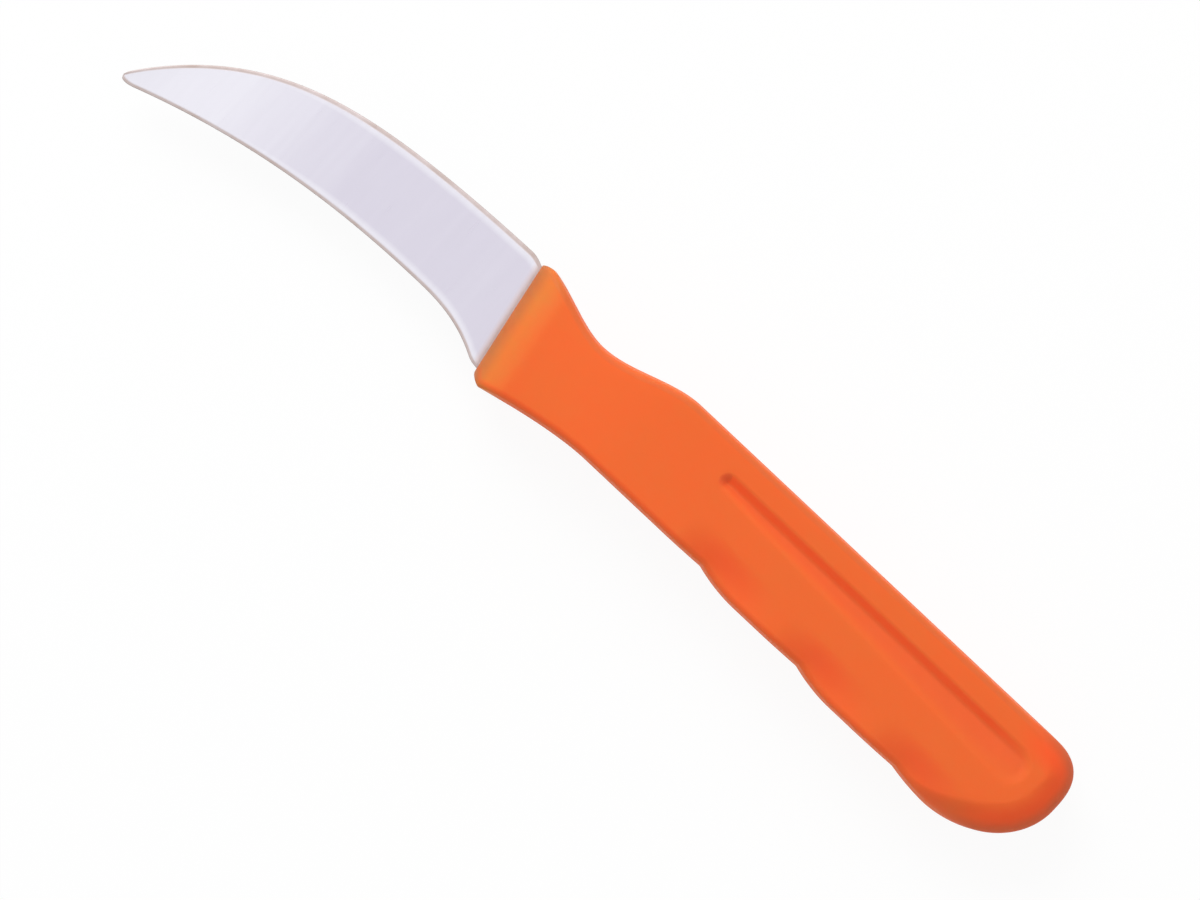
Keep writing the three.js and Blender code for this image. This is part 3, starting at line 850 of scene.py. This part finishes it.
def noise(tree, vector, scale, detail=2.0, roughness=0.5):
    """The height of a noise texture."""
    made = node(tree, "ShaderNodeTexNoise", {
        "Vector": vector, "Scale": scale, "Detail": detail, "Roughness": roughness,
    })
    return made.outputs["Fac"]


def attribute(tree, name):
    """The value of one of the mesh's point attributes."""
    return node(tree, "ShaderNodeAttribute", attribute_name=name).outputs["Fac"]


def relief(tree, height, distance, strength):
    """The normal of a surface with the given height in its relief."""
    made = node(tree, "ShaderNodeBump", {"Height": height, "Distance": distance, "Strength": strength})
    return made.outputs["Normal"]


def new_group(name, inputs, outputs):
    """An empty shader node group whose inputs are a vector and the named values, and its two ends."""
    tree = bpy.data.node_groups.new(name, "ShaderNodeTree")
    tree.interface.new_socket("Vector", in_out="INPUT", socket_type="NodeSocketVector")
    for key in inputs:
        tree.interface.new_socket(key, in_out="INPUT", socket_type="NodeSocketFloat")
    for key in outputs:
        tree.interface.new_socket(key, in_out="OUTPUT", socket_type="NodeSocketFloat")
    return tree, tree.nodes.new("NodeGroupInput").outputs, tree.nodes.new("NodeGroupOutput")


# Scales of the grain's other noises against the fine one's, and the fine one's share of the relief.
COARSE_SCALE = 0.28
TONE_SCALE = 0.035
FINE_SHARE = 0.65

# The range of a noise over which patches grow from their least to full.
PATCH_SPREAD = (0.3, 0.7)


def surface_grain_group(name):
    """Fine relief of a tooled surface: two sizes of noise on a vector that the material stretches as it
    needs. Height is the relief, and Tone wanders slowly round a half for colour and roughness."""
    tree, start, end = new_group(name, ["Pitch"], ["Height", "Tone"])
    vector = start["Vector"]
    scale = maths(tree, "DIVIDE", 1.0, start["Pitch"])
    fine = noise(tree, vector, scale)
    coarse = noise(tree, vector, maths(tree, "MULTIPLY", scale, COARSE_SCALE))
    tone = noise(tree, vector, maths(tree, "MULTIPLY", scale, TONE_SCALE), detail=3.0, roughness=0.6)
    fine_part = maths(tree, "MULTIPLY", fine, FINE_SHARE)
    coarse_part = maths(tree, "MULTIPLY", coarse, 1.0 - FINE_SHARE)
    set_inputs(tree, end, {"Height": maths(tree, "ADD", fine_part, coarse_part), "Tone": tone})
    return tree


def patchy_paint_group(name):
    """Where light or shade is painted on a surface: the piece's own mask, its Exposure, broken up by noise
    in patches and brought down to the share Least of it between them. Mask is 1 where most is painted."""
    tree, start, end = new_group(name, ["Exposure", "Patch", "Least"], ["Mask"])
    scale = maths(tree, "DIVIDE", 1.0, start["Patch"])
    patches = noise(tree, start["Vector"], scale, detail=4.0, roughness=0.65)
    share = ranged(tree, patches, *PATCH_SPREAD, start["Least"], 1.0)
    set_inputs(tree, end, {"Mask": maths(tree, "MULTIPLY", start["Exposure"], share)})
    return tree


GROUPS = {"Surface grain": surface_grain_group, "Patchy painted light": patchy_paint_group}


def placed_group(tree, name, **inputs):
    """The outputs of the named group, made when first asked for and placed with its inputs."""
    group = bpy.data.node_groups.get(name) or GROUPS[name](name)
    return node(tree, "ShaderNodeGroup", inputs, node_tree=group).outputs


def patchy(tree, vector, exposure, patch, least):
    """The mask of the patchy wear group, placed with its inputs."""
    made = placed_group(tree, "Patchy painted light", Vector=vector, Exposure=exposure, Patch=patch, Least=least)
    return made["Mask"]


def emptied_tree(owner):
    """The node tree of a new material or world, with nothing in it."""
    owner.use_nodes = True
    owner.node_tree.nodes.clear()
    return owner.node_tree


def new_material(name):
    """A material, its tree, and the shader that makes its surface."""
    made = bpy.data.materials.new(name)
    tree = emptied_tree(made)
    shader = node(tree, "ShaderNodeBsdfPrincipled")
    node(tree, "ShaderNodeOutputMaterial", {"Surface": shader.outputs["BSDF"]})
    return made, tree, shader


def rgba(value):
    """A colour with full alpha."""
    return (*value, 1.0)


# Materials

WHITE = (1.0, 1.0, 1.0, 1.0)

# A spread is the range that a noise mostly keeps to, and a least the share of a mark between its patches.
PLASTIC_SPREAD = (0.35, 0.65)
PLASTIC_DRIFT = 0.2
PLASTIC_ROUGHER = (-0.04, 0.05)
PLASTIC_BUMP = 0.012 * MM
PLASTIC_BUMP_STRENGTH = 0.6
PLASTIC_BODY = {
    "IOR": 1.49,
    "Specular IOR Level": 0.1,
    "Subsurface Weight": 0.3,
    "Subsurface Radius": (1.0, 0.25, 0.1),
    "Subsurface Scale": 1.2 * MM,
}
# Painted highlight on the rim, and how much smoother the rim is.
RIM_HIGHLIGHT_PATCH = 9.0 * MM
RIM_HIGHLIGHT_LEAST = 0.35
RIM_HIGHLIGHT_PALER = 0.9
RIM_SMOOTHER = 0.09
# Patches of the darker painted shade.
DARK_SHADE_PATCH = 3.0 * MM
DARK_SHADE_LEAST = 0.7

STEEL_SPREAD = (0.3, 0.7)
STEEL_DRIFT = 0.12
STEEL_ROUGHER = (-0.03, 0.04)
STEEL_BUMP = 0.0015 * MM
STEEL_BUMP_STRENGTH = 0.4
STEEL_STRETCH = 0.035
# Painted dark reflection along edge and spine, and painted shade at the joint, which are rougher too.
EDGE_SHADE_PATCH = 5.0 * MM
EDGE_SHADE_LEAST = 0.75
EDGE_SHADE_ROUGHER = 0.45
EDGE_SHADE_REACH = (0.35 * MM, 0.6 * MM)
JOINT_REACH = (0.3 * MM, 1.3 * MM)
# Painted highlight towards the nose and beside the edges.
NOSE_HIGHLIGHT_REACH = (32.0 * MM, 56.0 * MM)
EDGE_HIGHLIGHT = 0.8
EDGE_HIGHLIGHT_REACH = (0.9 * MM, 1.6 * MM)


def around(tree, value, spread, middle, offsets):
    """A roughness that follows a noise over its spread, from one offset of its middle to the other."""
    return ranged(tree, value, *spread, middle + offsets[0], middle + offsets[1])


def moulded_plastic(finish):
    """Satin orange plastic: fine moulded grain in the relief, slow drift of the pigment, painted shade as a
    redder colour where shade falls, a painted highlight that makes the rim paler and yellower, with a
    smoother rim, and painted shade as a darker colour. Light goes a short way into it, reds furthest."""
    made, tree, shader = new_material("moulded_plastic")
    place = node(tree, "ShaderNodeTexCoord").outputs["Object"]
    grain = placed_group(tree, "Surface grain", Vector=place, Pitch=finish.plastic_grain)
    # Painted highlight on the rim.
    lit_rim = patchy(tree, place, attribute(tree, "rim_highlight"), RIM_HIGHLIGHT_PATCH, RIM_HIGHLIGHT_LEAST)
    # Darker painted shade.
    grime = patchy(tree, place, attribute(tree, "grimed"), DARK_SHADE_PATCH, DARK_SHADE_LEAST)
    drift = ranged(tree, grain["Tone"], *PLASTIC_SPREAD, PLASTIC_DRIFT, 0.0)
    # The pigment's random drift, and painted shade as a redder colour.
    drift_and_shade = maths(tree, "MAXIMUM", drift, attribute(tree, "in_painted_shade"))
    body = mixed(tree, drift_and_shade, rgba(finish.plastic), rgba(finish.plastic_drift_and_shade))
    paler = maths(tree, "MULTIPLY", lit_rim, RIM_HIGHLIGHT_PALER)
    with_lit_rim = mixed(tree, paler, body, rgba(finish.plastic_rim_highlight))
    grainy = around(tree, grain["Height"], PLASTIC_SPREAD, finish.plastic_roughness, PLASTIC_ROUGHER)
    smoother = maths(tree, "MULTIPLY", lit_rim, RIM_SMOOTHER)
    set_inputs(tree, shader, {
        "Base Color": mixed(tree, grime, with_lit_rim, rgba(finish.plastic_grimed)),
        "Roughness": maths(tree, "SUBTRACT", grainy, smoother),
        "Normal": relief(tree, grain["Height"], PLASTIC_BUMP, PLASTIC_BUMP_STRENGTH),
        **PLASTIC_BODY,
    })
    return made


def ground_steel(finish):
    """Satin stainless steel: grinding lines that run from spine to edge, set by the blade's own map, a
    painted highlight that brightens it towards the nose and beside its edges, a painted dark reflection
    along edge and spine, and painted shade at the joint with the handle, both rougher too."""
    made, tree, shader = new_material("ground_steel")
    shape = node(tree, "ShaderNodeUVMap", uv_map="along_and_across").outputs["UV"]
    stretch = {"Vector": shape, "Scale": (1.0, STEEL_STRETCH, 1.0)}
    lines = node(tree, "ShaderNodeMapping", stretch).outputs["Vector"]
    grain = placed_group(tree, "Surface grain", Vector=lines, Pitch=finish.steel_grain)
    from_edge = attribute(tree, "from_edge")
    # Painted dark reflection along edge and spine, and painted shade at the joint.
    rim = ranged(tree, from_edge, *EDGE_SHADE_REACH, 1.0, 0.0)
    joint = ranged(tree, attribute(tree, "from_handle"), *JOINT_REACH, 1.0, 0.0)
    edge_shade = patchy(tree, shape, maths(tree, "MAXIMUM", rim, joint), EDGE_SHADE_PATCH, EDGE_SHADE_LEAST)
    # Painted highlight towards the nose and beside the edges.
    towards_nose = ranged(tree, attribute(tree, "along"), *NOSE_HIGHLIGHT_REACH, 0.0, 1.0)
    beside_edge = ranged(tree, from_edge, *EDGE_HIGHLIGHT_REACH, EDGE_HIGHLIGHT, 0.0)
    drift = ranged(tree, grain["Tone"], *STEEL_SPREAD, -STEEL_DRIFT, STEEL_DRIFT)
    light = maths(tree, "ADD", maths(tree, "MAXIMUM", towards_nose, beside_edge), drift)
    flat = mixed(tree, light, rgba(finish.steel), rgba(finish.steel_painted_highlight))
    lined = around(tree, grain["Height"], STEEL_SPREAD, finish.steel_roughness, STEEL_ROUGHER)
    rougher = maths(tree, "MULTIPLY", edge_shade, EDGE_SHADE_ROUGHER)
    set_inputs(tree, shader, {
        "Base Color": mixed(tree, edge_shade, flat, rgba(finish.steel_painted_shade)),
        "Roughness": maths(tree, "ADD", lined, rougher),
        "Normal": relief(tree, grain["Height"], STEEL_BUMP, STEEL_BUMP_STRENGTH),
        "Metallic": 1.0,
    })
    return made


def seen_rays(tree):
    """1 for camera, glossy and transmission rays, and 0 for the rays that light matt surfaces."""
    path = node(tree, "ShaderNodeLightPath").outputs
    seen = maths(tree, "MAXIMUM", path["Is Camera Ray"], path["Is Glossy Ray"])
    return maths(tree, "MAXIMUM", seen, path["Is Transmission Ray"])


def studio_floor(stage):
    """Pale matt floor, mostly plain white to camera and mirror rays, with the knife's shadow on it."""
    made = bpy.data.materials.new("studio_floor")
    tree = emptied_tree(made)
    matt = node(tree, "ShaderNodeBsdfDiffuse", {"Color": rgba(stage.floor)})
    glow = node(tree, "ShaderNodeEmission", {"Color": WHITE, "Strength": 1.0})
    share = maths(tree, "MULTIPLY", seen_rays(tree), stage.floor_glow)
    both = node(tree, "ShaderNodeMixShader", {0: share, 1: matt.outputs[0], 2: glow.outputs[0]})
    node(tree, "ShaderNodeOutputMaterial", {"Surface": both.outputs[0]})
    return made


# Operators

class KNIFE_OT_handle(bpy.types.Operator):
    """Build the moulded handle with its rim, thumb saddle, finger steps, recesses and blade slot"""

    bl_idname = "mushroom_knife.handle"
    bl_label = "Handle"

    def execute(self, context):
        scene = context.scene
        points, values = handle_points(scene.knife_handle, scene.knife_blade)
        made = loft_object("moulded_handle", points, values)
        made.data.materials.append(moulded_plastic(scene.knife_finish))
        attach(made, "root")
        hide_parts("handle")
        return {"FINISHED"}


class KNIFE_OT_blade(bpy.types.Operator):
    """Build the ground blade with its bevel, curved spine and the root that goes into the handle"""

    bl_idname = "mushroom_knife.blade"
    bl_label = "Blade"

    def execute(self, context):
        scene = context.scene
        points, values = blade_points(scene.knife_handle, scene.knife_blade)
        made = loft_object("ground_blade", points, values)
        map_from_attributes(made.data, "along_and_across", "along", "across")
        made.data.materials.append(ground_steel(scene.knife_finish))
        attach(made, "root")
        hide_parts("blade")
        return {"FINISHED"}


class KNIFE_OT_stage(bpy.types.Operator):
    """Build the pale floor, the soft light and the camera that looks straight down on the knife"""

    bl_idname = "mushroom_knife.stage"
    bl_label = "Stage"

    def execute(self, context):
        scene = context.scene
        stage = scene.knife_stage
        make_floor(scene, stage)
        make_world(scene, stage)
        make_key_light(scene, stage)
        make_camera(scene, stage)
        scene.view_settings.view_transform = "Standard"
        return {"FINISHED"}


def make_floor(scene, stage):
    """A level square under the knife."""
    half = stage.floor_size / 2.0
    corners = [(-half, -half), (half, -half), (half, half), (-half, half)]
    mesh = bpy.data.meshes.new("floor")
    mesh.from_pydata([(x, y, CAD_LOW.z) for x, y in corners], [], [(0, 1, 2, 3)])
    mesh.materials.append(studio_floor(stage))
    floor = bpy.data.objects.new("floor", mesh)
    scene.collection.objects.link(floor)


def make_world(scene, stage):
    """A plain white surround: white where it is seen or mirrored, at the ambient level where it lights."""
    scene.world = bpy.data.worlds.new("studio")
    tree = emptied_tree(scene.world)
    level = ranged(tree, seen_rays(tree), 0.0, 1.0, stage.ambient, 1.0)
    back = node(tree, "ShaderNodeBackground", {"Color": WHITE, "Strength": level})
    node(tree, "ShaderNodeOutputWorld", {"Surface": back.outputs[0]})


def picture_direction(stage, turn, height):
    """Unit vector towards the picture's top, turned from it to the left and raised by the height."""
    bearing = stage.view_turn + math.pi / 2.0 + turn
    return np.array([
        math.cos(bearing) * math.cos(height),
        math.sin(bearing) * math.cos(height),
        math.sin(height),
    ])


def make_key_light(scene, stage):
    """A square soft box beyond the blade, aimed at the knife."""
    lamp = bpy.data.lights.new("key", "AREA")
    lamp.energy = stage.key_power
    lamp.size = stage.key_size
    key = bpy.data.objects.new("key", lamp)
    towards = picture_direction(stage, stage.key_turn, stage.key_height)
    key.location = towards * stage.key_distance
    key.rotation_euler = (math.pi / 2.0 - stage.key_height, 0.0, stage.view_turn + math.pi + stage.key_turn)
    scene.collection.objects.link(key)


def make_camera(scene, stage):
    """A camera straight above the knife, turned so that the knife lies as in the picture."""
    lens = bpy.data.cameras.new("camera")
    lens.lens = stage.lens
    camera = bpy.data.objects.new("camera", lens)
    above = stage.view_width * stage.lens / lens.sensor_width
    camera.location = PLACE + np.array([stage.view_behind, -stage.view_below, above])
    camera.rotation_euler = (0.0, 0.0, stage.view_turn)
    scene.collection.objects.link(camera)
    scene.camera = camera


class KNIFE_PT_panel(bpy.types.Panel):
    """Buttons and settings of the mushroom knife"""

    bl_idname = "KNIFE_PT_panel"
    bl_label = "Mushroom knife"
    bl_space_type = "VIEW_3D"
    bl_region_type = "UI"
    bl_category = "Knife"

    def draw(self, context):
        layout = self.layout
        for operator in OPERATORS:
            layout.operator(operator.bl_idname)
        for key, group in SETTINGS.items():
            box = layout.box()
            box.label(text=group.__doc__)
            for name in group.__annotations__:
                box.prop(getattr(context.scene, key), name)


SETTINGS = {
    "knife_handle": KnifeHandleSizes,
    "knife_blade": KnifeBladeSizes,
    "knife_finish": KnifeFinish,
    "knife_stage": KnifeStage,
}
OPERATORS = [KNIFE_OT_handle, KNIFE_OT_blade, KNIFE_OT_stage]
CLASSES = [*SETTINGS.values(), *OPERATORS, KNIFE_PT_panel]


def register():
    """Registers the classes and hangs the settings on the scene."""
    for item in CLASSES:
        bpy.utils.register_class(item)
    for key, group in SETTINGS.items():
        setattr(bpy.types.Scene, key, PointerProperty(type=group))


def unregister():
    """Takes the settings and classes away again."""
    for key in SETTINGS:
        delattr(bpy.types.Scene, key)
    for item in reversed(CLASSES):
        bpy.utils.unregister_class(item)


def main():
    """Builds the knife and its stage."""
    register()
    bpy.ops.mushroom_knife.handle()
    bpy.ops.mushroom_knife.blade()
    bpy.ops.mushroom_knife.stage()


if __name__ == "__main__":
    main()
